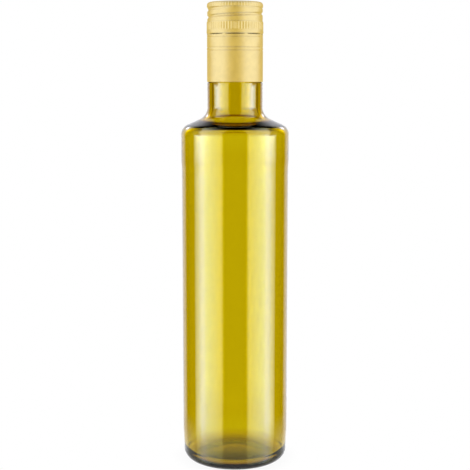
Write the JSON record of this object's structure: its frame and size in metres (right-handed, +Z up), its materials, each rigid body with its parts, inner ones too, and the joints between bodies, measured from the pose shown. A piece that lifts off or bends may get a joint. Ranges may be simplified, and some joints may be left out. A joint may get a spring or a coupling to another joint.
{
  "type": "glass bottle",
  "caption": "Tall round bottle of yellow-olive glass with a straight neck, closed by a gold aluminium screw cap with a long skirt and a tamper band.",
  "frame": {"origin": "middle of the circle that the bottle stands on", "axes": "+Z up along the bottle's axis, -Y towards the viewer of the picture"},
  "size_m": [0.0624, 0.0624, 0.2678],
  "materials": {
    "bottle": "clear gloss, tinted yellow-olive",
    "cap": "satin gold lacquer"
  },
  "bodies": {
    "root": {"bottle": "bottle", "cap": "cap"}
  },
  "joints": []
}
